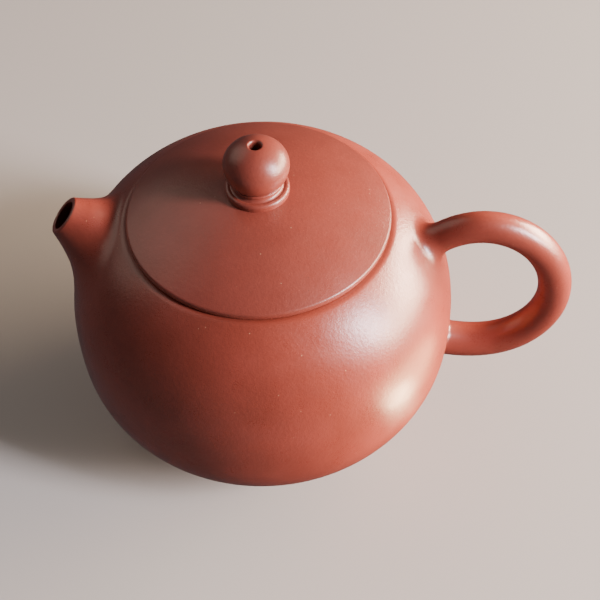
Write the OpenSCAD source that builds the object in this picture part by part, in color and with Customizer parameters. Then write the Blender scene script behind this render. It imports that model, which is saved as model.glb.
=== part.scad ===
// Round Yixing teapot: stiff clay pieces luted together into a pot, and a cut lid that lifts off.
// Millimetres, +Z up. The origin is the centre of the foot's resting face, on the pot's axis.
// The spout points to -X and the handle to +X.

/* [Body] */
// Greatest outside diameter of the round body
belly_d = 85; // [80:0.5:92]
// Height of the widest circle above the resting face
belly_z = 27; // [26:0.5:30]
// Rise of the shoulder curve from the widest circle to the axis
shoulder_rise = 36.4; // [34:0.2:39]
// Fullness of the shoulder curve, where 2 is an ellipse and more is squarer
shoulder_power = 2.6; // [2.3:0.05:2.8]
// Drop of the lower curve from the widest circle to the axis
lower_drop = 27.7; // [26.5:0.1:28.5]
// Fullness of the lower curve
lower_power = 2.35; // [2.2:0.05:2.6]
// Thickness of the clay wall
wall = 2.8; // [2.2:0.1:3.4]

/* [Foot] */
// Height of the foot ring
foot_h = 1.6; // [1.2:0.1:2.4]
// Outside diameter of the foot ring
foot_d = 40; // [34:0.5:41]
// Width of the foot ring's resting face
foot_w = 2.6; // [1.8:0.1:4]

/* [Lid] */
// Diameter of the lid plate
lid_d = 55; // [52:0.5:58]
// Height of the lid's upright edge
lid_edge_h = 1.2; // [0.8:0.1:2]
// Rise of the lid's dome above its edge
lid_rise = 6.9; // [5.5:0.1:8]
// Thickness of the lid plate
lid_wall = 2.6; // [2:0.1:3.2]
// Border of the pot's mouth that stays in sight around the lid
seat_border = 0.9; // [0.5:0.1:1.5]
// Gap between the lid and its seat at rest
seat_gap = 0.2; // [0.1:0.05:0.3]
// Diameter of the opening inside the mouth ring
mouth_d = 47.6; // [46:0.2:48]
// Play around the lid's flange
flange_play = 0.3; // [0.2:0.05:0.5]
// Depth of the flange below the lid plate
flange_h = 6.5; // [5:0.5:9]
// Thickness of the flange
flange_wall = 2.2; // [1.6:0.1:2.6]

/* [Knob] */
// Greatest diameter of the knob
knob_d = 13.4; // [12:0.2:15]
// Height of the knob from its widest circle to its top
knob_top = 5.3; // [4.8:0.1:6.5]
// Depth of the knob from its widest circle to its lowest point
knob_bottom = 6; // [5.4:0.1:6.6]
// Greatest diameter of the collar's lower ring
collar_d = 13.2; // [12.4:0.2:14]
// Greatest diameter of the collar's upper ring
neck_d = 10.5; // [9.8:0.1:11.5]
// Diameter of the vent hole at the top of the knob
vent_d = 2.4; // [1.8:0.1:2.8]
// Diameter of the vent hole where it opens under the lid
vent_low_d = 1.6; // [1.2:0.1:1.8]

/* [Spout] */
// Outside diameter of the spout's mouth
spout_mouth_d = 8.4; // [7.6:0.1:9.4]
// Diameter of the bore at the spout's mouth
spout_bore_d = 6.2; // [5.4:0.1:6.8]
// Distance of the spout's mouth from the pot's axis
spout_reach = 41.4; // [41:0.1:43]
// Height of the middle of the spout's mouth
spout_z = 57; // [55.5:0.1:57.5]
// Angle of the spout above level
spout_tilt = 43; // [40:1:46]
// Widening of the spout's radius per millimetre, just behind the mouth
spout_flare = 0.43; // [0.38:0.01:0.46]

/* [Strainer] */
// Outside diameter of the pierced dome behind the spout
strainer_d = 16; // [15:0.5:18]
// Diameter of the strainer's holes
strainer_hole_d = 1.6; // [1.2:0.1:1.8]

/* [Handle] */
// Distance of the handle's outermost centreline point from the pot's axis
handle_reach = 65; // [62:0.2:68]
// Height of that point
handle_mid_z = 34.6; // [33.6:0.2:35.6]
// Diameter of the handle at its upper root
handle_top_d = 6.4; // [5.6:0.1:7.4]
// Diameter of the handle at its lower root
handle_bottom_d = 8.3; // [7:0.1:9]

/* [Hidden] */

clay_colour = [0.60, 0.29, 0.22];
inner_clay_colour = [0.52, 0.25, 0.19];
round_steps = 120;
curve_steps = 24;
reach = 200;
overlap = 1;

belly_r = belly_d / 2;
base_thickness = wall;
base_top = foot_h + base_thickness;

lid_r = lid_d / 2;
mouth_ring_wall = 2.5;
mouth_ring_h = 5;
mouth_r = mouth_d / 2;
mouth_ring_r = mouth_r + mouth_ring_wall;
seat_z = shoulder_z(lid_r + seat_border);
lid_z = seat_z + seat_gap;
lid_edge_z = lid_z + lid_edge_h;
dome_r = (lid_r * lid_r + lid_rise * lid_rise) / (2 * lid_rise);
dome_centre_z = lid_edge_z + lid_rise - dome_r;
flange_r = mouth_r - flange_play;
flange_inner_r = flange_r - flange_wall;

collar_bead = 0.75;
neck_bead = 0.5;
collar_z = dome_z(collar_d / 2) + collar_bead;
neck_z = collar_z + collar_bead + neck_bead + 0.15;
knob_seat_r = neck_d / 2 - neck_bead;
knob_seat_drop = knob_bottom * sqrt(1 - pow(2 * knob_seat_r / knob_d, 2));
knob_z = neck_z + neck_bead + knob_seat_drop;
vent_chamfer = 0.3;
vent_chamfer_h = 0.4;
vent_overrun = 0.5;
vent_low_z = dome_z(0) - lid_wall - vent_overrun;
vent_high_z = knob_z + knob_top + vent_overrun;

spout_length = 12;
spout_curl = 0.012;
spout_bore_growth = 0.3;
strainer_depth = 10.6;
strainer_wall = 1.3;
strainer_hole_rings = [[1, 0], [6, 25], [12, 50]];

handle_top_root = [33.9, 47.4];
handle_top_pull = [45.3, 65.2];
handle_bottom_root = [40.4, 18.1];
handle_bottom_pull = [57.4, 13.1];
handle_rise_pull = 17.6;
handle_fall_pull = 9.6;
handle_rings = 44;
handle_sides = 20;
root_flare = 1.6;
root_flare_power = 14;

// Heights of the shoulder and of the lid's dome at a distance r from the pot's axis
function shoulder_z(r) = belly_z + shoulder_rise * pow(1 - pow(r / belly_r, shoulder_power), 1 / shoulder_power);
function dome_z(r) = dome_centre_z + sqrt(dome_r * dome_r - r * r);

// Point on a quarter of a superellipse: angle 0 lies on the widest circle and 90 on the axis
function quarter_point(r, rise, power, angle) =
    [r * pow(cos(angle), 2 / power), rise * pow(sin(angle), 2 / power)];

// Closed half outline, from the lowest point on the axis to the highest
function half_outline(r, drop, drop_power, rise, rise_power) = concat(
    [for (i = [curve_steps:-1:1]) quarter_point(r, -drop, drop_power, 90 * i / curve_steps)],
    [for (i = [0:curve_steps]) quarter_point(r, rise, rise_power, 90 * i / curve_steps)]
);

module body_outline(inset) {
    translate([0, belly_z])
        polygon(half_outline(
            belly_r - inset, lower_drop - inset, lower_power, shoulder_rise - inset, shoulder_power
        ));
}

module knob_outline() {
    translate([0, knob_z])
        polygon(half_outline(knob_d / 2, knob_bottom, 2, knob_top, 2));
}

module dome_outline(inset) {
    translate([0, dome_centre_z])
        circle(r = dome_r - inset, $fn = 2 * round_steps);
}

// Rectangle from radius r0 to r1 and height z0 to z1
module ring_outline(r0, r1, z0, z1) {
    translate([r0, z0])
        square([r1 - r0, z1 - z0]);
}

module revolve() {
    rotate_extrude($fn = round_steps)
        children();
}

module body_form(inset) {
    revolve()
        body_outline(inset);
}

// Puts a shape on the spout's axis: its origin in the middle of the mouth, +Z out of the spout
module on_spout_axis() {
    translate([-spout_reach, 0, spout_z])
        rotate([0, spout_tilt - 90, 0])
            children();
}

function spout_outer_r(depth) = spout_mouth_d / 2 + spout_flare * depth + spout_curl * depth * depth;
function spout_bore_r(depth) = spout_bore_d / 2 + spout_bore_growth * depth;

module spout_bore() {
    rotate_extrude($fn = round_steps)
        polygon([
            [0, overlap],
            [spout_bore_r(-overlap), overlap],
            [spout_bore_r(strainer_depth - 2), 2 - strainer_depth],
            [spout_bore_r(strainer_depth - 2), -strainer_depth - 6],
            [0, -strainer_depth - 6]
        ]);
}

module body_wall() {
    color(clay_colour)
        difference() {
            revolve()
                intersection() {
                    difference() {
                        body_outline(0);
                        body_outline(wall);
                        ring_outline(0, mouth_ring_r, belly_z, reach);
                    }
                    ring_outline(0, reach, base_top, seat_z);
                }
            on_spout_axis()
                spout_bore();
        }
}

module base_plate() {
    color(inner_clay_colour)
        revolve()
            intersection() {
                body_outline(0);
                ring_outline(0, reach, foot_h, base_top);
            }
}

module foot_ring() {
    color(clay_colour)
        revolve()
            ring_outline(foot_d / 2 - foot_w, foot_d / 2, 0, foot_h);
}

module mouth_ring() {
    color(inner_clay_colour)
        revolve()
            ring_outline(mouth_r, mouth_ring_r, seat_z - mouth_ring_h, seat_z);
}

module spout() {
    color(clay_colour)
        difference() {
            on_spout_axis()
                rotate_extrude($fn = round_steps)
                    polygon(concat(
                        [[0, -spout_length], [0, 0]],
                        [for (depth = [0:spout_length]) [spout_outer_r(depth), -depth]]
                    ));
            on_spout_axis()
                spout_bore();
            body_form(0);
        }
}

module strainer() {
    color(inner_clay_colour)
        intersection() {
            on_spout_axis()
                translate([0, 0, -strainer_depth])
                    difference() {
                        sphere(d = strainer_d, $fn = round_steps);
                        sphere(d = strainer_d - 2 * strainer_wall, $fn = round_steps);
                        for (ring = strainer_hole_rings)
                            for (i = [0:ring[0] - 1])
                                rotate([0, 0, 360 * i / ring[0]])
                                    rotate([180 + ring[1], 0, 0])
                                        cylinder(d = strainer_hole_d, h = strainer_d, $fn = 24);
                    }
            body_form(wall);
        }
}

function bezier(a, b, c, d, t) =
    pow(1 - t, 3) * a + 3 * pow(1 - t, 2) * t * b + 3 * (1 - t) * t * t * c + t * t * t * d;

// Centreline of the handle in the XZ plane: t runs from 0 at the upper root to 2 at the lower
function handle_point(t) = t < 1
    ? bezier(
        handle_top_root, handle_top_pull,
        [handle_reach, handle_mid_z + handle_rise_pull], [handle_reach, handle_mid_z], t)
    : bezier(
        [handle_reach, handle_mid_z], [handle_reach, handle_mid_z - handle_fall_pull],
        handle_bottom_pull, handle_bottom_root, t - 1);

function handle_direction(t) =
    let (step = handle_point(min(t + 0.01, 2)) - handle_point(max(t - 0.01, 0)))
    step / norm(step);

function handle_radius(t) =
    (handle_top_d + (handle_bottom_d - handle_top_d) * t / 2) / 2
    + root_flare * pow(abs(1 - t), root_flare_power);

function handle_ring(t) =
    let (middle = handle_point(t), along = handle_direction(t), r = handle_radius(t))
    [for (i = [0:handle_sides - 1])
        let (angle = 360 * i / handle_sides, out = r * cos(angle))
        [middle[0] - out * along[1], r * sin(angle), middle[1] + out * along[0]]];

module handle_sweep() {
    rings = [for (i = [0:handle_rings]) handle_ring(2 * i / handle_rings)];
    points = [for (ring = rings) for (point = ring) point];
    sides = [for (i = [0:handle_rings - 1]) for (j = [0:handle_sides - 1])
        let (next = (j + 1) % handle_sides, low = i * handle_sides, high = low + handle_sides)
        [low + j, high + j, high + next, low + next]];
    first_end = [for (j = [0:handle_sides - 1]) j];
    last_end = [for (j = [handle_sides - 1:-1:0]) handle_rings * handle_sides + j];
    polyhedron(points, concat(sides, [first_end, last_end]), convexity = 4);
}

module handle() {
    color(clay_colour)
        difference() {
            handle_sweep();
            body_form(0);
        }
}

module lid_plate() {
    color(clay_colour)
        difference() {
            revolve()
                difference() {
                    intersection() {
                        dome_outline(0);
                        ring_outline(0, lid_r, lid_z, reach);
                    }
                    intersection() {
                        dome_outline(lid_wall);
                        ring_outline(0, flange_inner_r, 0, reach);
                    }
                }
            vent();
        }
}

module lid_flange() {
    color(inner_clay_colour)
        revolve()
            ring_outline(flange_inner_r, flange_r, lid_z - flange_h, lid_z);
}

// Hole pierced down the middle of the lid with a tapered tool, with a wider lip at the top of the knob
module vent() {
    translate([0, 0, vent_low_z])
        cylinder(d1 = vent_low_d, d2 = vent_d, h = vent_high_z - vent_low_z, $fn = 48);
    translate([0, 0, knob_z + knob_top - vent_chamfer_h])
        cylinder(d1 = vent_d, d2 = vent_d + 4 * vent_chamfer, h = 2 * vent_chamfer_h, $fn = 48);
}

module bead(r, z, bead_r) {
    translate([r - bead_r, z])
        circle(r = bead_r, $fn = 48);
}

module knob_collar() {
    color(clay_colour)
        difference() {
            revolve()
                difference() {
                    union() {
                        bead(collar_d / 2, collar_z, collar_bead);
                        bead(neck_d / 2, neck_z, neck_bead);
                        ring_outline(0, collar_d / 2 - collar_bead, lid_edge_z, collar_z + collar_bead);
                        ring_outline(0, knob_seat_r, lid_edge_z, neck_z + neck_bead);
                    }
                    dome_outline(0);
                    knob_outline();
                }
            vent();
        }
}

module knob() {
    color(clay_colour)
        difference() {
            revolve()
                knob_outline();
            vent();
        }
}

body_wall();
base_plate();
foot_ring();
mouth_ring();
spout();
strainer();
handle();
lid_plate();
lid_flange();
knob_collar();
knob();
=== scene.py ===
from math import acos, asin, cos, pi, radians, sin, sqrt

import bmesh
import bpy
from mathutils import Matrix, Vector


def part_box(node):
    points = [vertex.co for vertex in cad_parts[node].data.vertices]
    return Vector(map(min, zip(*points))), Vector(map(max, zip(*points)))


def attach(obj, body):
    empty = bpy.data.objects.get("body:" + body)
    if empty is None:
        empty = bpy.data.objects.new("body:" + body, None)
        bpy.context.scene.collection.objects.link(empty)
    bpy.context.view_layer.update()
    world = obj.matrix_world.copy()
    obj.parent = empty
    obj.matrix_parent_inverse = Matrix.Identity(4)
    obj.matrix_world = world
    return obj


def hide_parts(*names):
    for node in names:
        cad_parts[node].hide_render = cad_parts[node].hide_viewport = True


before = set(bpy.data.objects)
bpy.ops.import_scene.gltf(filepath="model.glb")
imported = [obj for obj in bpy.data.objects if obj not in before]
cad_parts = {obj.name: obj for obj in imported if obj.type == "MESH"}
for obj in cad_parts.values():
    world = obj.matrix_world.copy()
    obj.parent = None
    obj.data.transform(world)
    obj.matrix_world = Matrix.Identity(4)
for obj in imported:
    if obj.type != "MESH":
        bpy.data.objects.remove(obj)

# A round Yixing teapot of unglazed burnished clay. Shapes are worked out in millimetres in the frame
# of the CAD part: +Z up, spout towards -X, handle towards +X. Meshes are made in metres.
MM = 0.001
ACROSS = Vector((0, 1, 0))
UP = Vector((0, 0, 1))
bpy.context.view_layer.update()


def box_mm(node):
    """Lowest and highest corner of a CAD node's box, in millimetres."""
    low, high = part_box(node)
    return low / MM, high / MM


# ---------------------------------------------------------------- sizes, from the frame where it tells

wall_high = box_mm("body_wall")[1]
base_low, base_high = box_mm("base_plate")
plate_low, plate_high = box_mm("lid_plate")
flange_low, flange_high = box_mm("lid_flange")
ring_low, ring_high = box_mm("mouth_ring")
foot_high = box_mm("foot_ring")[1]
knob_low, knob_high = box_mm("knob")

# body: one superellipse above the belly's widest circle and another below it
BELLY_R = 42.5
BELLY_Z = 27
SHOULDER_RISE = 36.4
SHOULDER_POWER = 2.6
LOWER_DROP = 27.7
LOWER_POWER = 2.35
WALL = 2.8
SEAT_EDGE_ROUNDING = 0.55
SEAT_Z = wall_high.z
BASE_Z = base_low.z
BASE_TOP_Z = base_high.z
FOOT_R = foot_high.y
FOOT_WIDTH = 2.6
FOOT_DRAFT = 0.1
FOOT_ROUNDING = 0.5
FOOT_TOP_Z = BASE_Z + 0.05
MOUTH_RING_R = ring_high.y
MOUTH_RING_WIDTH = 2.5
MOUTH_R = MOUTH_RING_R - MOUTH_RING_WIDTH
MOUTH_SEAT_ROUNDING = 0.4
MOUTH_LOW_ROUNDING = 0.5

# lid: a domed plate on a flange
LID_R = plate_high.y
LID_Z = plate_low.z
LID_EDGE = 1.2
LID_RISE = 6.9
LID_WALL = 2.6
LID_TOP_ROUNDING = 0.4
LID_EDGE_ROUNDING = 0.3
FLANGE_R = flange_high.y
FLANGE_WALL = 2.2
FLANGE_ROUNDING = 0.6
DOME_R = (LID_R ** 2 + LID_RISE ** 2) / (2 * LID_RISE)
DOME_CENTRE_Z = LID_Z + LID_EDGE + LID_RISE - DOME_R

# knob: a ball on a collar of two beads, with the vent down its middle. BURIED is how far collar and knob
# reach into the piece below or above
VENT_TOP_R = 1.2
VENT_LOW_R = 0.8
VENT_SEAT_R = 0.91
VENT_LIP = 0.28
VENT_LIP_ROUNDING = 0.2
VENT_THROAT = 0.35
VENT_THROAT_ROUNDING = 0.14
COLLAR_R = 6.6
COLLAR_DRAFT = 0.02
COLLAR_BEAD_R = 0.7
COLLAR_BEAD_RISE = 0.8
COLLAR_COVE = [(5.5, 0.63), (5.26, 0.76), (5.1, 0.98)]
COLLAR_WAIST_R = 5.02
COLLAR_WAIST_RISE = 1.25
NECK_R = 5.25
NECK_BEAD_R = 0.28
NECK_OVERLAP = 0.02
BURIED = 0.1
KNOB_R = knob_high.y
KNOB_SEAT_R = NECK_R - 0.5
KNOB_RISE = 5.3
KNOB_DROP = 6.0
KNOB_Z = knob_low.z + KNOB_DROP * sqrt(1 - (VENT_SEAT_R / KNOB_R) ** 2)
KNOB_TOP_Z = KNOB_Z + KNOB_RISE

# spout: its mouth, and how fast it and its bore widen on the way into the body
SPOUT_MOUTH = Vector((-41.4, 0, 57))
SPOUT_TILT = radians(43)
SPOUT_R = 4.2
SPOUT_FLARE = 0.45
SPOUT_CURL = 0.0136
SPOUT_BORE_R = 3.1
SPOUT_BORE_GROWTH = 0.3
WALL_HOLE_R = 5.6
WALL_HOLE_LENGTH = 14
WALL_HOLE_MIDDLE = -11

# spout's blend into the body: how far from the spout's axis it ends on top, what is added below and at the
# sides, and where it starts, as a share of the way from the mouth to the body and at most in millimetres
BLEND_REACH = 8.8
BLEND_MORE_BELOW = 5.8
BLEND_MORE_BESIDE = 3.6
BLEND_START_SHARE = 0.32
BLEND_START_MOST = 3.4
FILLET_PULL = 0.42

# handle: two cubic curves (x, z) that meet at its outermost point, each given by its ends and the two points
# that pull it. A root's fillet starts LEAVE along the curve from the body and ends about SPREAD wider than
# the handle. The ends lie SINK deep in the wall, and the body's surface is looked for up to SEARCH along
HANDLE_UPPER = [(33.9, 47.4), (45.3, 65.2), (65, 52.2), (65, 34.6)]
HANDLE_LOWER = [(65, 34.6), (65, 25), (57.4, 13.1), (40.4, 18.1)]
HANDLE_TOP_R = 3.2
HANDLE_BOTTOM_R = 4.15
HANDLE_SINK = 0.6
HANDLE_ROOT_SEARCH = 0.6
UPPER_ROOT_LEAVE, UPPER_ROOT_SPREAD = 0.07, 3.4
LOWER_ROOT_LEAVE, LOWER_ROOT_SPREAD = 0.035, 0.8

# studio: its floor and wall, where the lights point, and the camera's aim, distance and angles in degrees
PALE = (0.44, 0.425, 0.405, 1)
FLOOR_REACH = 4000
FLOOR_DROP = 0.05
BACKDROP_R = 1300
BACKDROP_DEPTH = 1600
LIGHT_AIM = Vector((0, 0, 35))
GLOW_Z = 1
CAMERA_AIM = Vector((8.2, 1.7, 28.0))
CAMERA_DISTANCE = 243
CAMERA_AZIMUTH = 2.85
CAMERA_ELEVATION = 51.3
CAMERA_ROLL = radians(-0.9)


# ---------------------------------------------------------------- the body's surface

def superellipse(width, rise, power, angle):
    """Point (r, z) on a quarter of a superellipse: angle 0 on the widest circle, pi / 2 on the axis."""
    return width * cos(angle) ** (2 / power), rise * sin(angle) ** (2 / power)


def body_half(above, inset=0.0):
    """Rise and power of the body's curve above or below the belly."""
    if above:
        return SHOULDER_RISE - inset, SHOULDER_POWER
    return LOWER_DROP - inset, LOWER_POWER


def body_angle(z, inset=0.0):
    """Angle of the body's curve at height z, from -pi / 2 at the bottom to pi / 2 at the top."""
    above = z > BELLY_Z
    rise, power = body_half(above, inset)
    return asin(min(1.0, abs(z - BELLY_Z) / rise) ** (power / 2)) * (1 if above else -1)


def body_curve(z0, z1, inset=0.0, steps=60):
    """Points (r, z) along the body's curve between two heights, evenly spaced in angle."""
    a0, a1 = body_angle(z0, inset), body_angle(z1, inset)
    points = []
    for i in range(steps + 1):
        angle = a0 + (a1 - a0) * i / steps
        rise, power = body_half(angle > 0, inset)
        r, z = superellipse(BELLY_R - inset, rise, power, abs(angle))
        points.append((r, BELLY_Z + (z if angle > 0 else -z)))
    return points


def body_level(point):
    """Negative inside the body's outer surface, positive outside it."""
    rise, power = body_half(point.z > BELLY_Z)
    r = sqrt(point.x ** 2 + point.y ** 2)
    return ((r / BELLY_R) ** power + (abs(point.z - BELLY_Z) / rise) ** power) ** (1 / power) - 1


def body_normal(point):
    """Direction straight out of the body's surface."""
    step = 0.01
    return Vector([
        body_level(point + step * axis) - body_level(point - step * axis)
        for axis in (Vector((1, 0, 0)), ACROSS, UP)
    ]).normalized()


def onto_body(point):
    """Moves a point onto the body's outer surface, along the surface's normal."""
    step = 0.01
    for _ in range(12):
        normal = body_normal(point)
        slope = (body_level(point + step * normal) - body_level(point - step * normal)) / (2 * step)
        point = point - normal * (body_level(point) / slope)
    return point


# ---------------------------------------------------------------- mesh helpers

def skin(name, rings, body, replaces, slot, closed=False, sharp=38):
    """Closed mesh through rings of points in millimetres. A ring of one point is a pole."""
    bm = bmesh.new()
    made = [[bm.verts.new(Vector(point) * MM) for point in ring] for ring in rings]
    pairs = list(zip(made, made[1:]))
    if closed:
        pairs.append((made[-1], made[0]))
    for a, b in pairs:
        count = max(len(a), len(b))
        for i in range(count):
            j = (i + 1) % count
            corners = [a[i % len(a)], a[j % len(a)], b[j % len(b)], b[i % len(b)]]
            bm.faces.new(list(dict.fromkeys(corners)))
    bmesh.ops.recalc_face_normals(bm, faces=bm.faces)
    mesh = bpy.data.meshes.new(name)
    bm.to_mesh(mesh)
    bm.free()
    mesh.polygons.foreach_set("use_smooth", [True] * len(mesh.polygons))
    mesh.set_sharp_from_angle(angle=radians(sharp))
    piece = bpy.data.objects.new(name, mesh)
    bpy.context.scene.collection.objects.link(piece)
    mesh.materials.append(clays[slot])
    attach(piece, body)
    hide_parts(replaces)
    return piece


def revolve(name, outline, body, replaces, slot, closed=True, steps=288):
    """Turns an outline of (r, z) points round the pot's axis. Points on the axis become poles."""
    rings = []
    on_axis = 1e-6
    for r, z in outline:
        if r < on_axis:
            rings.append([(0, 0, z)])
            continue
        rings.append([(r * cos(2 * pi * i / steps), r * sin(2 * pi * i / steps), z) for i in range(steps)])
    return skin(name, rings, body, replaces, slot, closed=closed)


def cubic(a, b, c, d, t):
    """Point at share t of the cubic curve from a to d that is pulled towards b and c."""
    return (1 - t) ** 3 * a + 3 * t * (1 - t) ** 2 * b + 3 * t * t * (1 - t) * c + t ** 3 * d


def trimmed(points, cut):
    """A polyline without its first stretch of length cut."""
    points = [Vector(p) for p in points]
    while len(points) > 2 and (points[1] - points[0]).length <= cut:
        cut -= (points[1] - points[0]).length
        points.pop(0)
    along = (points[1] - points[0]).normalized()
    return [points[0] + along * cut] + points[1:]


def rounded_outline(stretches, steps=6):
    """Closed outline of stretches of (r, z) points. Each is (points, rounding), where the rounding softens
    the corner after it, by a curve that starts and ends that far from the corner."""
    trims = [[Vector(p) for p in points] for points, _ in stretches]
    corners = [trim[-1].copy() for trim in trims]
    count = len(stretches)
    for i in range(count):
        rounding = stretches[i][1]
        following = (i + 1) % count
        if rounding > 0:
            trims[i] = trimmed(trims[i][::-1], rounding)[::-1]
            trims[following] = trimmed(trims[following], rounding)
    outline = []
    same_point = 1e-5
    for i in range(count):
        for point in trims[i]:
            if not outline or (point - outline[-1]).length > same_point:
                outline.append(point)
        if stretches[i][1] > 0:
            start, end = trims[i][-1], trims[(i + 1) % count][0]
            for k in range(1, steps):
                t = k / steps
                outline.append((1 - t) ** 2 * start + 2 * t * (1 - t) * corners[i] + t * t * end)
    if (outline[0] - outline[-1]).length < same_point:
        outline.pop()
    return [(p[0], p[1]) for p in outline]


def line(start, end, spacing=1.2):
    """Points from start to end, evenly spaced at about the given spacing."""
    start, end = Vector(start), Vector(end)
    count = max(1, int((end - start).length / spacing))
    return [tuple(start.lerp(end, i / count)) for i in range(count + 1)]


def arc(centre, r, a0, a1, steps=10):
    """Points on a circle, from angle a0 to a1 in degrees."""
    angles = [radians(a0 + (a1 - a0) * i / steps) for i in range(steps + 1)]
    return [(centre[0] + r * cos(a), centre[1] + r * sin(a)) for a in angles]


# ---------------------------------------------------------------- clay

def clay(name, light, dark, roughness, grain):
    """Unglazed Yixing clay: mottled colour, fine sand, and a burnished skin with a slight orange peel."""
    material = bpy.data.materials.new(name)
    material.use_nodes = True
    nodes, links = material.node_tree.nodes, material.node_tree.links
    shader = nodes["Principled BSDF"]
    place = nodes.new("ShaderNodeTexCoord")
    to_mm = nodes.new("ShaderNodeMapping")
    to_mm.inputs["Scale"].default_value = (1 / MM, 1 / MM, 1 / MM)
    links.new(place.outputs["Object"], to_mm.inputs["Vector"])

    def noise(scale, detail=3, rough=0.5):
        node = nodes.new("ShaderNodeTexNoise")
        node.inputs["Scale"].default_value = scale
        node.inputs["Detail"].default_value = detail
        node.inputs["Roughness"].default_value = rough
        links.new(to_mm.outputs["Vector"], node.inputs["Vector"])
        return node.outputs["Fac"]

    def remap(value, low, high, to_low, to_high):
        node = nodes.new("ShaderNodeMapRange")
        node.inputs["From Min"].default_value = low
        node.inputs["From Max"].default_value = high
        node.inputs["To Min"].default_value = to_low
        node.inputs["To Max"].default_value = to_high
        links.new(value, node.inputs["Value"])
        return node.outputs["Result"]

    def maths(operation, a, b):
        node = nodes.new("ShaderNodeMath")
        node.operation = operation
        for socket, value in zip(node.inputs, (a, b)):
            if isinstance(value, (int, float)):
                socket.default_value = value
            else:
                links.new(value, socket)
        return node.outputs["Value"]

    def mix_colour(share, a, b):
        node = nodes.new("ShaderNodeMix")
        node.data_type = "RGBA"
        links.new(share, node.inputs["Factor"])
        for socket, value in ((node.inputs["A"], a), (node.inputs["B"], b)):
            if isinstance(value, tuple):
                socket.default_value = (*value, 1)
            else:
                links.new(value, socket)
        return node.outputs["Result"]

    def tint(colour, mask, strength, towards):
        """Mixes a colour towards another, by up to strength where the mask is 1."""
        share = maths("MULTIPLY", mask, strength)
        return mix_colour(share, colour, towards)

    def specks(scale, share, size):
        """1 inside a few scattered dots, 0 elsewhere. Size is a part of the spacing."""
        node = nodes.new("ShaderNodeTexVoronoi")
        node.inputs["Scale"].default_value = scale
        links.new(to_mm.outputs["Vector"], node.inputs["Vector"])
        pick = nodes.new("ShaderNodeSeparateColor")
        links.new(node.outputs["Color"], pick.inputs["Color"])
        chosen = maths("LESS_THAN", pick.outputs["Red"], share)
        dot = remap(node.outputs["Distance"], size, size * 0.5, 0, 1)
        return maths("MULTIPLY", chosen, dot)

    mottle = remap(noise(0.09, 4, 0.55), 0.35, 0.65, 0, 1)
    fine_mottle = remap(noise(1.4, 3, 0.6), 0.3, 0.7, 0, 1)
    sand = noise(5.5, 2, 0.6)
    light_specks = specks(0.7, 0.08, 0.10)
    dark_specks = specks(0.55, 0.12, 0.10)
    deeper = tuple(c * 0.8 for c in dark)
    brighter = tuple(c * 1.35 for c in light)
    buff_grain = (0.55, 0.30, 0.18)
    brown_grain = (0.10, 0.035, 0.025)
    colour = mix_colour(mottle, dark, light)
    colour = tint(colour, fine_mottle, 0.25, deeper)
    colour = tint(colour, remap(sand, 0.55, 0.75, 0, 1), 0.25, brighter)
    colour = tint(colour, light_specks, 0.55, buff_grain)
    colour = tint(colour, dark_specks, 0.6, brown_grain)
    links.new(colour, shader.inputs["Base Color"])

    worn = remap(noise(0.22, 3, 0.5), 0.3, 0.7, -0.03, 0.03)
    rough = maths("ADD", remap(sand, 0.3, 0.7, roughness - 0.05, roughness + 0.05), worn)
    links.new(rough, shader.inputs["Roughness"])
    shader.inputs["IOR"].default_value = 1.5
    shader.inputs["Specular IOR Level"].default_value = 0.6

    # unevenness of the skin, from slow waves to single grains: scale per mm, detail and height in mm
    waves = (
        (0.05, 1, 0.10),
        (1.3, 2, 0.034 * grain),
        (3.2, 2, 0.018 * grain),
        (8.0, 1, 0.006 * grain),
    )
    height = None
    for scale, detail, depth in waves:
        level = maths("MULTIPLY", noise(scale, detail), depth)
        height = maths("ADD", height, level) if height else level
    bump = nodes.new("ShaderNodeBump")
    bump.inputs["Strength"].default_value = 1.0
    bump.inputs["Distance"].default_value = MM
    links.new(height, bump.inputs["Height"])
    links.new(bump.outputs["Normal"], shader.inputs["Normal"])
    return material


clays = {
    "pot_clay": clay("pot_clay", (0.205, 0.040, 0.0265), (0.172, 0.032, 0.020), 0.32, 1.0),
    "lid_clay": clay("lid_clay", (0.212, 0.045, 0.031), (0.180, 0.037, 0.025), 0.35, 1.0),
    "inner_clay": clay("inner_clay", (0.198, 0.039, 0.0255), (0.166, 0.031, 0.019), 0.40, 1.5),
}


# ---------------------------------------------------------------- pot: turned pieces

def inner_height(r):
    """Height z above the belly at which the body's inner surface is at distance r from the axis."""
    rise, power = body_half(True, WALL)
    return BELLY_Z + rise * (1 - (r / (BELLY_R - WALL)) ** power) ** (1 / power)


def body_wall():
    outer = body_curve(BASE_TOP_Z, SEAT_Z, steps=120)
    inner = body_curve(inner_height(MOUTH_RING_R), BASE_TOP_Z, inset=WALL, steps=70)
    stretches = [
        (outer, SEAT_EDGE_ROUNDING),
        (line(outer[-1], (MOUTH_RING_R, SEAT_Z), 0.6), 0),
        (line((MOUTH_RING_R, SEAT_Z), inner[0]), 0),
        (inner, 0),
        (line(inner[-1], outer[0]), 0),
    ]
    wall = revolve("pot_wall", rounded_outline(stretches), "pot", "body_wall", "pot_clay")
    cut_bore(wall)


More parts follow.
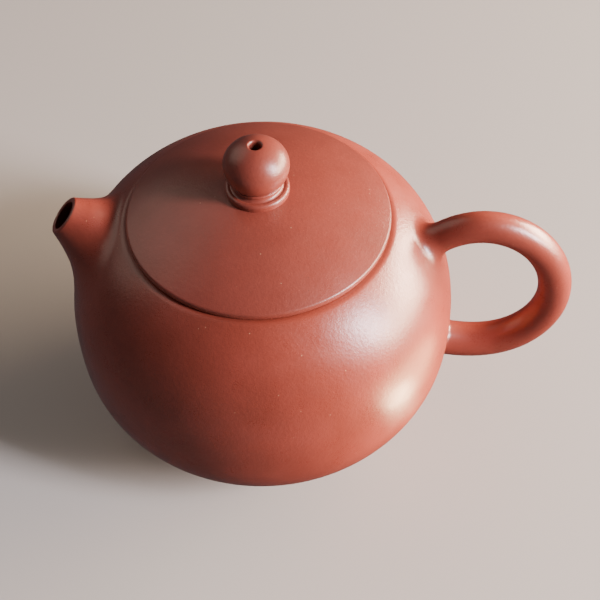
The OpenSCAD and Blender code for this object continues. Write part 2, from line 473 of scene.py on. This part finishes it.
def cut_bore(wall):
    """Opens the wall behind the spout with a round hole along the spout's axis."""
    bm = bmesh.new()
    bmesh.ops.create_cone(
        bm, segments=96, radius1=WALL_HOLE_R, radius2=WALL_HOLE_R, depth=WALL_HOLE_LENGTH, cap_ends=True)
    mesh = bpy.data.meshes.new("bore_cutter")
    bm.to_mesh(mesh)
    bm.free()
    mesh.transform(spout_frame() @ Matrix.Translation((0, 0, WALL_HOLE_MIDDLE)))
    mesh.transform(Matrix.Scale(MM, 4))
    cutter = bpy.data.objects.new("bore_cutter", mesh)
    bpy.context.scene.collection.objects.link(cutter)
    cut = wall.modifiers.new("bore", "BOOLEAN")
    cut.operation = "DIFFERENCE"
    cut.object = cutter
    cut.solver = "EXACT"
    bpy.context.view_layer.update()
    graph = bpy.context.evaluated_depsgraph_get()
    result = bpy.data.meshes.new_from_object(wall.evaluated_get(graph))
    wall.modifiers.clear()
    wall.data = result
    bpy.data.objects.remove(cutter)


def base_plate():
    edge = body_curve(BASE_Z, BASE_TOP_Z, steps=24)
    underside = line((0, BASE_Z), edge[0], 1.5)
    top = line(edge[-1], (0, BASE_TOP_Z), 1.5)
    outline = underside[:-1] + edge + top[1:]
    revolve("pot_base", outline, "pot", "base_plate", "inner_clay", closed=False)


def foot_ring():
    """The foot, which widens a little upwards and reaches just into the base plate."""
    outer_r, inner_r = FOOT_R, FOOT_R - FOOT_WIDTH
    outer_top_r, inner_top_r = outer_r + FOOT_DRAFT, inner_r - FOOT_DRAFT
    top = FOOT_TOP_Z
    stretches = [
        (line((outer_top_r, top), (outer_r, 0), 0.3), FOOT_ROUNDING),
        (line((outer_r, 0), (inner_r, 0), 0.6), FOOT_ROUNDING),
        (line((inner_r, 0), (inner_top_r, top), 0.3), 0),
        (line((inner_top_r, top), (outer_top_r, top), 0.8), 0),
    ]
    revolve("pot_foot", rounded_outline(stretches), "pot", "foot_ring", "pot_clay")


def mouth_ring():
    low = ring_low.z
    stretches = [
        (line((MOUTH_RING_R, low), (MOUTH_RING_R, SEAT_Z), 0.8), 0),
        (line((MOUTH_RING_R, SEAT_Z), (MOUTH_R, SEAT_Z), 0.5), MOUTH_SEAT_ROUNDING),
        (line((MOUTH_R, SEAT_Z), (MOUTH_R, low), 0.8), MOUTH_LOW_ROUNDING),
        (line((MOUTH_R, low), (MOUTH_RING_R, low), 0.5), MOUTH_LOW_ROUNDING),
    ]
    revolve("pot_mouth_ring", rounded_outline(stretches), "pot", "mouth_ring", "inner_clay")


# ---------------------------------------------------------------- pot: spout and handle

def spout_frame():
    """Places a shape on the spout's axis: its origin in the mouth, +Z out of the spout."""
    return Matrix.Translation(SPOUT_MOUTH) @ Matrix.Rotation(SPOUT_TILT - pi / 2, 4, "Y")


def surface_share(outside, inside):
    """How far along the line from outside to inside the body's surface lies, as a share of the line."""
    low, high = 0.0, 1.0
    for _ in range(30):
        middle = (low + high) / 2
        if body_level(outside.lerp(inside, middle)) > 0:
            low = middle
        else:
            high = middle
    return (low + high) / 2


def fillet(start, start_along, foot, away, steps):
    """Curve that leaves a point along a direction and ends on the body at foot, tangent to its surface."""
    normal = body_normal(foot)
    back = -(away - normal * away.dot(normal)).normalized()
    reach = (foot - start).length * FILLET_PULL
    a = start + start_along * reach
    b = foot + back * reach
    return [cubic(start, a, b, foot, i / steps) for i in range(steps + 1)]


def spout():
    """The spout's rings run up the bore, over the lip, down the outside and over the body to the blend's
    foot, and back to the bore just under the body's surface."""
    sides = 128
    rows = 14
    blend_rows = 24
    hidden_rows = 8
    # how far in along the axis the body's surface is looked for, and where the search for the foot starts
    search_depth = 14.0
    first_guess = 8.2
    # how far the bore reaches past the body's outer surface, and how deep the hidden side lies
    past_surface = 0.4
    sink = 0.5
    turn = spout_frame().to_3x3()
    inward = turn @ Vector((0, 0, -1))
    up = turn @ Vector((1, 0, 0))
    up *= 1 if up.z > 0 else -1
    columns = []
    for i in range(sides):
        angle = 2 * pi * i / sides
        away = cos(angle) * up + sin(angle) * ACROSS
        lower_side = (1 - cos(angle)) / 2

        def outer(s):
            return SPOUT_MOUTH + inward * s + away * (SPOUT_R + SPOUT_FLARE * s + SPOUT_CURL * s * s)

        def bore(s):
            return SPOUT_MOUTH + inward * s + away * (SPOUT_BORE_R + SPOUT_BORE_GROWTH * s)

        # the blend's foot: a point on the body at a set distance from the spout's axis
        foot_distance = BLEND_REACH + BLEND_MORE_BELOW * lower_side + BLEND_MORE_BESIDE * sin(angle) ** 2
        foot = onto_body(SPOUT_MOUTH + inward * first_guess + away * foot_distance)
        for _ in range(4):
            off = (foot - SPOUT_MOUTH) - inward * (foot - SPOUT_MOUTH).dot(inward)
            foot = onto_body(foot + away * (foot_distance - off.length))
        hit = search_depth * surface_share(outer(0), outer(search_depth))
        leave = min(hit * BLEND_START_SHARE, BLEND_START_MOST)
        along = (outer(leave + 0.05) - outer(leave - 0.05)).normalized()
        shell = [outer(leave * k / rows) for k in range(rows)]
        shell += fillet(outer(leave), along, foot, away, blend_rows)

        deep = search_depth * surface_share(bore(0), bore(search_depth)) + past_surface
        inner = [bore(deep * k / rows) for k in range(rows, -1, -1)]
        hidden = [onto_body(foot.lerp(inner[0], k / hidden_rows)) for k in range(hidden_rows + 1)]
        hidden = [point - body_normal(point) * sink for point in hidden]
        columns.append(soften_lip(inner, shell) + hidden)
    rings = [list(ring) for ring in zip(*columns)]
    skin("pot_spout", rings, "pot", "spout", "pot_clay", closed=True)


def soften_lip(inner, shell, cut=0.42, steps=8):
    """Joins the bore to the outside over a rounded lip."""
    corner_out = shell[0]
    inner = trimmed(inner[::-1], cut)[::-1]
    shell = trimmed(shell, cut)
    corner_in = inner[-1] + (inner[-1] - inner[-2]).normalized() * cut
    lip = [cubic(inner[-1], corner_in, corner_out, shell[0], k / steps) for k in range(1, steps)]
    return inner + lip + shell


def handle_middle(t):
    """Centreline of the handle: t runs from 0 at the upper root to 2 at the lower one."""
    t = min(2.0, max(0.0, t))
    points, share = (HANDLE_UPPER, t) if t < 1 else (HANDLE_LOWER, t - 1)
    return cubic(*(Vector((x, 0, z)) for x, z in points), share)


def handle_point(t, angle):
    """Point on the handle's surface, and the direction out of the loop there. Angle 0 is outermost."""
    along = (handle_middle(t + 0.01) - handle_middle(t - 0.01)).normalized()
    out = Vector((-along.z, 0, along.x))
    r = HANDLE_TOP_R + (HANDLE_BOTTOM_R - HANDLE_TOP_R) * t / 2
    return handle_middle(t) + r * (cos(angle) * out + sin(angle) * ACROSS), out


def handle_hit(end, sign, angle):
    """Where along the handle its surface meets the body: near end 0, the upper one, or 2, the lower."""
    low, high = 0.0, HANDLE_ROOT_SEARCH
    for _ in range(30):
        middle = (low + high) / 2
        if body_level(handle_point(end + sign * middle, angle)[0]) > 0:
            high = middle
        else:
            low = middle
    return end + sign * high


def handle_root(end, angle):
    """Fillet at one end of the handle, and where on the handle it starts."""
    sign = 1 if end == 0 else -1
    inner_side = (1 - cos(angle)) / 2
    if end == 0:
        leave, spread = UPPER_ROOT_LEAVE, UPPER_ROOT_SPREAD
    else:
        leave, spread = LOWER_ROOT_LEAVE, LOWER_ROOT_SPREAD * (1 + 2 * inner_side)
    hit_t = handle_hit(end, sign, angle)
    leave_t = hit_t + sign * leave
    start, out = handle_point(leave_t, angle)
    back = handle_point(leave_t - sign * 0.01, angle)[0]
    away = cos(angle) * out + sin(angle) * ACROSS
    hit = handle_point(hit_t, angle)[0]
    normal = body_normal(hit)
    flat = (away - normal * away.dot(normal)).normalized()
    foot = onto_body(hit + flat * spread)
    return leave_t, fillet(start, (back - start).normalized(), foot, away, 16)


def handle():
    """The handle's rings run from one fillet round the loop to the other, and its ends are in the wall."""
    sides = 64
    rows = 150
    columns = []
    for i in range(sides):
        angle = 2 * pi * i / sides
        upper_t, upper = handle_root(0, angle)
        lower_t, lower = handle_root(2, angle)
        loop = [handle_point(upper_t + (lower_t - upper_t) * k / rows, angle)[0] for k in range(1, rows)]
        first = upper[-1] - body_normal(upper[-1]) * HANDLE_SINK
        last = lower[-1] - body_normal(lower[-1]) * HANDLE_SINK
        columns.append([first] + upper[::-1] + loop + lower + [last])
    rings = [list(ring) for ring in zip(*columns)]

    def cap(ring):
        middle = sum((Vector(p) for p in ring), Vector()) / len(ring)
        shrunk = [[Vector(p).lerp(middle, share) for p in ring] for share in (0.33, 0.66)]
        return shrunk + [[middle]]

    rings = cap(rings[0])[::-1] + rings + cap(rings[-1])
    skin("pot_handle", rings, "pot", "handle", "pot_clay", sharp=45)


# ---------------------------------------------------------------- lid

def dome_z(r, inset=0.0):
    """Height of the lid's dome, or of its underside with an inset, at distance r from the axis."""
    return DOME_CENTRE_Z + sqrt((DOME_R - inset) ** 2 - r * r)


def dome_curve(r0, r1, inset=0.0, steps=40):
    return [(r, dome_z(r, inset)) for r in (r0 + (r1 - r0) * i / steps for i in range(steps + 1))]


def vent_r(z):
    """Radius of the vent at height z: it widens from the underside of the lid to the top of the knob."""
    low = dome_z(0, LID_WALL)
    return VENT_LOW_R + (VENT_TOP_R - VENT_LOW_R) * (z - low) / (KNOB_TOP_Z - low)


def vent_line(z0, z1):
    return line((vent_r(z0), z0), (vent_r(z1), z1), 0.6)


def lid_plate():
    inner_r = FLANGE_R - FLANGE_WALL
    edge_z = LID_Z + LID_EDGE
    vent_low, vent_high = dome_z(VENT_LOW_R, LID_WALL), dome_z(VENT_LOW_R)
    stretches = [
        (dome_curve(vent_r(vent_high), LID_R, steps=70), LID_TOP_ROUNDING),
        (line((LID_R, edge_z), (LID_R, LID_Z), 0.3), LID_EDGE_ROUNDING),
        (line((LID_R, LID_Z), (inner_r, LID_Z), 0.8), 0),
        (line((inner_r, LID_Z), (inner_r, dome_z(inner_r, LID_WALL)), 0.4), 0),
        (dome_curve(inner_r, vent_r(vent_low), LID_WALL, 40), 0),
        (vent_line(vent_low, vent_high), 0),
    ]
    revolve("lid_dome", rounded_outline(stretches), "lid", "lid_plate", "lid_clay")


def lid_flange():
    inner_r = FLANGE_R - FLANGE_WALL
    low = flange_low.z
    stretches = [
        (line((FLANGE_R, LID_Z), (FLANGE_R, low), 0.6), FLANGE_ROUNDING),
        (line((FLANGE_R, low), (inner_r, low), 0.5), FLANGE_ROUNDING),
        (line((inner_r, low), (inner_r, LID_Z), 0.6), 0),
        (line((inner_r, LID_Z), (FLANGE_R, LID_Z), 0.5), 0),
    ]
    revolve("lid_flange_wall", rounded_outline(stretches), "lid", "lid_flange", "inner_clay")


def knob_underside(r):
    """Height of the knob's lower half at distance r from the axis."""
    return KNOB_Z - KNOB_DROP * sqrt(1 - (r / KNOB_R) ** 2)


def knob_collar():
    """Two rings under the knob, with a cove between them. It reaches a little into the lid and the knob."""
    low_z = dome_z(COLLAR_R)
    bead_r = COLLAR_R - COLLAR_BEAD_R
    bead_z = low_z + COLLAR_BEAD_RISE
    edge_r = NECK_R - NECK_BEAD_R
    edge_z = knob_underside(edge_r) - NECK_BEAD_R + NECK_OVERLAP
    under_knob_z = edge_z - 0.2
    outline = line((COLLAR_R - COLLAR_DRAFT, low_z - BURIED), (COLLAR_R, bead_z - 0.1), 0.2)
    outline += arc((bead_r, bead_z), COLLAR_BEAD_R, 4, 100, 18)
    outline += [(r, bead_z + rise) for r, rise in COLLAR_COVE]
    outline += line((COLLAR_WAIST_R, bead_z + COLLAR_WAIST_RISE), (COLLAR_WAIST_R, edge_z - 0.3), 0.3)
    outline += arc((edge_r, edge_z), NECK_BEAD_R, -60, 84, 12)
    outline += [(edge_r - 0.2, edge_z + NECK_BEAD_R + BURIED)]
    outline += vent_line(under_knob_z, dome_z(VENT_LOW_R) - BURIED)
    outline += dome_curve(VENT_LOW_R, bead_r, BURIED, 12)[1:]
    revolve("lid_knob_collar", outline, "lid", "knob_collar", "lid_clay", steps=160)


def knob():
    """A slightly flattened ball with the vent hole down its middle."""
    lip_r = VENT_TOP_R + VENT_LIP
    lowest = -acos(KNOB_SEAT_R / KNOB_R)
    highest = acos(lip_r / KNOB_R)
    steps = 72
    outer = []
    for i in range(steps + 1):
        angle = lowest + (highest - lowest) * i / steps
        rise = KNOB_RISE if angle > 0 else KNOB_DROP
        outer.append((KNOB_R * cos(angle), KNOB_Z + rise * sin(angle)))
    lip_z, seat_z = outer[-1][1], outer[0][1] - BURIED
    throat_z = lip_z - VENT_THROAT
    stretches = [
        (outer, VENT_LIP_ROUNDING),
        (line(outer[-1], (vent_r(throat_z), throat_z), 0.2), VENT_THROAT_ROUNDING),
        (vent_line(throat_z, seat_z), 0),
        (line((vent_r(seat_z), seat_z), (KNOB_SEAT_R - 0.1, seat_z), 0.8), 0),
    ]
    revolve("lid_knob", rounded_outline(stretches), "lid", "knob", "lid_clay", steps=192)


body_wall()
base_plate()
foot_ring()
mouth_ring()
spout()
handle()
lid_plate()
lid_flange()
knob_collar()
knob()

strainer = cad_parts["strainer"]
strainer.data.materials.clear()
strainer.data.materials.append(clays["inner_clay"])


# ---------------------------------------------------------------- floor, light and camera

def studio_object(name, bm, material_name):
    """Object made from a bmesh, with a material of its own. Returns the object and its shader."""
    mesh = bpy.data.meshes.new(name)
    bm.to_mesh(mesh)
    bm.free()
    material = bpy.data.materials.new(material_name)
    material.use_nodes = True
    mesh.materials.append(material)
    thing = bpy.data.objects.new(name, mesh)
    bpy.context.scene.collection.objects.link(thing)
    return thing, material.node_tree.nodes["Principled BSDF"]


def floor():
    """A pale floor that the clay's gloss doesn't mirror, so that the pot's lower side stays deep."""
    bm = bmesh.new()
    bmesh.ops.create_grid(bm, x_segments=2, y_segments=2, size=FLOOR_REACH * MM)
    plane, shader = studio_object("studio_floor", bm, "pale_floor")
    shader.inputs["Base Color"].default_value = PALE
    shader.inputs["Roughness"].default_value = 0.5
    plane.location.z = -FLOOR_DROP * MM
    plane.visible_glossy = False


def backdrop():
    """A pale wall round the floor, for low views. It lights nothing, isn't mirrored and casts no shadow."""
    bm = bmesh.new()
    r = BACKDROP_R * MM
    bmesh.ops.create_cone(
        bm, segments=128, radius1=r, radius2=r, depth=BACKDROP_DEPTH * MM, cap_ends=False)
    wall, shader = studio_object("studio_wall", bm, "pale_wall")
    shader.inputs["Base Color"].default_value = (0, 0, 0, 1)
    shader.inputs["Emission Color"].default_value = PALE
    shader.inputs["Emission Strength"].default_value = 1.2
    wall.visible_diffuse = False
    wall.visible_glossy = False
    wall.visible_shadow = False


def bearing(azimuth, elevation):
    """Direction from the pot to a place round it. Azimuth 0 is in front and 90 to the right, in degrees."""
    a, e = radians(azimuth), radians(elevation)
    return Vector((sin(a) * cos(e), -cos(a) * cos(e), sin(e)))


def area_light(name, shape, power, colour, place, beam):
    """Area light at a place in metres that shines along the direction beam."""
    data = bpy.data.lights.new(name, "AREA")
    data.shape = shape
    data.energy = power
    data.color = colour
    lamp = bpy.data.objects.new(name, data)
    lamp.location = place
    lamp.rotation_mode = "QUATERNION"
    lamp.rotation_quaternion = beam.to_track_quat("-Z", "Y")
    bpy.context.scene.collection.objects.link(lamp)
    return lamp


def softbox(name, azimuth, elevation, distance, size, power, colour):
    """Light panel that faces the pot. Its distance, width and height are in metres."""
    back = bearing(azimuth, elevation)
    place = LIGHT_AIM * MM + back * distance
    lamp = area_light(name, "RECTANGLE", power, colour, place, -back)
    lamp.data.size, lamp.data.size_y = size
    return lamp


def floor_glow(name, x, y, size, power, colour):
    """Round light that lies on the floor and shines up, as a sunlit patch of a table does. The camera
    doesn't see it."""
    place = Vector((x, y, GLOW_Z)) * MM
    lamp = area_light(name, "DISK", power, colour, place, UP)
    lamp.data.size = size * MM
    lamp.visible_camera = False
    return lamp


def light_only(name, lamps, pieces):
    """Lets some lamps reach only some pieces, through a collection of that name."""
    lit = bpy.data.collections.new(name)
    for piece in pieces:
        lit.objects.link(bpy.data.objects[piece])
    for lamp in lamps:
        lamp.light_linking.receiver_collection = lit


def studio():
    """A window and low warm light on the right, a dim room behind on the left, and a faint cool sky."""
    softbox("window", 71, 26, 0.9, (0.15, 0.44), 21.0, (1.0, 0.93, 1.0))
    softbox("warm_side", 101, 9, 0.8, (0.90, 0.28), 42.0, (1.0, 0.72, 0.50))
    softbox("room", -120, 40, 1.3, (1.1, 1.1), 5.0, (1.0, 0.78, 0.65))
    spot = floor_glow("sunlit_spot", 65, -33, 18, 0.06, (1.0, 0.68, 0.38))
    patch = floor_glow("sunlit_patch", 92, -30, 60, 0.14, (1.0, 0.52, 0.26))
    sun = softbox("sun_side", 110, 20, 0.7, (0.4, 0.25), 21, (1.0, 0.7, 0.52))
    light_only("lit_by_floor", [spot, patch], ["pot_wall"])
    light_only("lit_by_sun_side", [sun], ["pot_wall", "pot_spout", "pot_handle"])
    world = bpy.data.worlds.new("studio")
    world.use_nodes = True
    background = world.node_tree.nodes["Background"]
    background.inputs["Color"].default_value = (0.80, 0.92, 1.0, 1)
    background.inputs["Strength"].default_value = 0.095
    bpy.context.scene.world = world


def camera():
    """Looks down on the pot from the front, a little to the handle's side."""
    data = bpy.data.cameras.new("camera")
    data.sensor_width = 36
    data.lens = 63
    data.clip_start = 0.01
    data.clip_end = 10
    eye = bpy.data.objects.new("camera", data)
    back = bearing(CAMERA_AZIMUTH, CAMERA_ELEVATION)
    roll = Matrix.Rotation(CAMERA_ROLL, 4, "Z").to_quaternion()
    eye.location = CAMERA_AIM * MM + back * CAMERA_DISTANCE * MM
    eye.rotation_mode = "QUATERNION"
    eye.rotation_quaternion = (-back).to_track_quat("-Z", "Y") @ roll
    bpy.context.scene.collection.objects.link(eye)
    bpy.context.scene.camera = eye


floor()
backdrop()
studio()
camera()
